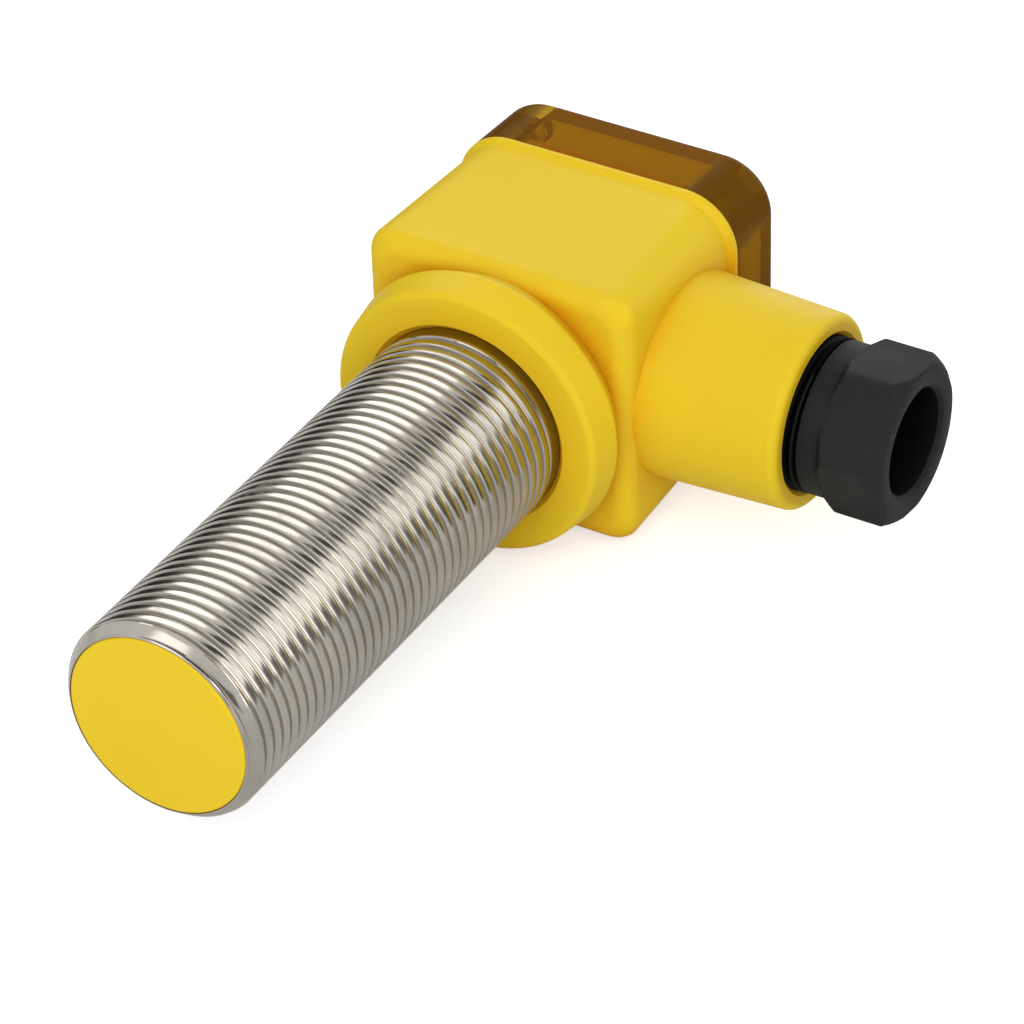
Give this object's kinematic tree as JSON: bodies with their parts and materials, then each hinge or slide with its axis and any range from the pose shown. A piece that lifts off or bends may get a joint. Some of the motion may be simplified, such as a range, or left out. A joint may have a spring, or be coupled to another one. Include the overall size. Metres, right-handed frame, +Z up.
{
  "type": "inductive proximity sensor",
  "caption": "Flush inductive proximity sensor: threaded metal barrel, yellow terminal housing with amber screw-on cover and side cable gland.",
  "frame": {"origin": "centre of the sensing face", "axes": "+Y along the barrel from the sensing face into the housing, +X along the cable gland's axis outwards, +Z up"},
  "size_m": [0.0794, 0.1268, 0.0426],
  "materials": {
    "nickel": "nickel plated, bright, turned",
    "yellow_plastic": "satin moulded",
    "amber_plastic": "clear amber, polished",
    "black_gland_plastic": "matt moulded",
    "black_plastic": "matt moulded",
    "white_plastic": "moulded",
    "grey_plastic": "moulded",
    "blue_plastic": "moulded",
    "ferrite": "sintered, dull",
    "copper_wire": "enamelled winding",
    "green_board": "lacquered laminate",
    "chip_black": "moulded package",
    "capacitor_can": "drawn can",
    "tinned_metal": "tin plated",
    "zinc_steel": "zinc plated",
    "spring_steel": "blackened spring steel",
    "black_rubber": "matt",
    "red_rubber": "matt silicone",
    "green_lamp": "clear dome",
    "yellow_lamp": "clear dome"
  },
  "bodies": {
    "sensor": {"threaded_barrel": "nickel", "sensing_face_cap": "yellow_plastic", "ferrite_core": "ferrite", "coil_bobbin": "white_plastic", "sensing_coil": "copper_wire", "core_carrier": "black_plastic", "circuit_board": "green_board", "oscillator_chip": "chip_black", "trimmer": "blue_plastic", "smoothing_capacitor": "capacitor_can", "output_transistor": "chip_black", "protection_diodes": "chip_black", "rear_plug": "black_plastic", "link_pins": "tinned_metal", "barrel_o_ring": "black_rubber", "retaining_ring": "spring_steel", "terminal_housing": "yellow_plastic", "terminal_board": "green_board", "terminal_block": "grey_plastic", "power_lamp": "green_lamp", "switch_lamp": "yellow_lamp", "cover_gasket": "red_rubber", "cable_seal": "black_rubber", "board_screw_1": "zinc_steel", "board_screw_2": "zinc_steel", "terminal_clamp_1": "tinned_metal", "terminal_screw_1": "zinc_steel", "terminal_clamp_2": "tinned_metal", "terminal_screw_2": "zinc_steel", "terminal_clamp_3": "tinned_metal", "terminal_screw_3": "zinc_steel", "terminal_clamp_4": "tinned_metal", "terminal_screw_4": "zinc_steel"},
    "cover": {"clear_cover": "amber_plastic", "cover_screw_1": "zinc_steel", "cover_screw_2": "zinc_steel", "cover_screw_3": "zinc_steel", "cover_screw_4": "zinc_steel"},
    "gland_follower": {"thrust_washer": "zinc_steel"},
    "gland_head": {"gland_screw": "black_gland_plastic"}
  },
  "joints": [
    {"name": "cover_slide", "type": "slide", "parent": "sensor", "child": "cover", "axis": [0, 1, 0], "range_m": [0, 0.02]},
    {"name": "gland_advance", "type": "slide", "parent": "sensor", "child": "gland_follower", "axis": [1, 0, 0], "range_m": [-0.0022, 0.0072]},
    {"name": "gland_turn", "type": "hinge", "parent": "gland_follower", "child": "gland_head", "pos_m": [0.045, 0.1019, 0], "axis": [1, 0, 0], "range_deg": [-560, 1800]}
  ],
  "couplings": [
    {"joint": "gland_advance", "follows": "gland_turn", "m_per_rad": 0.00022458}
  ]
}
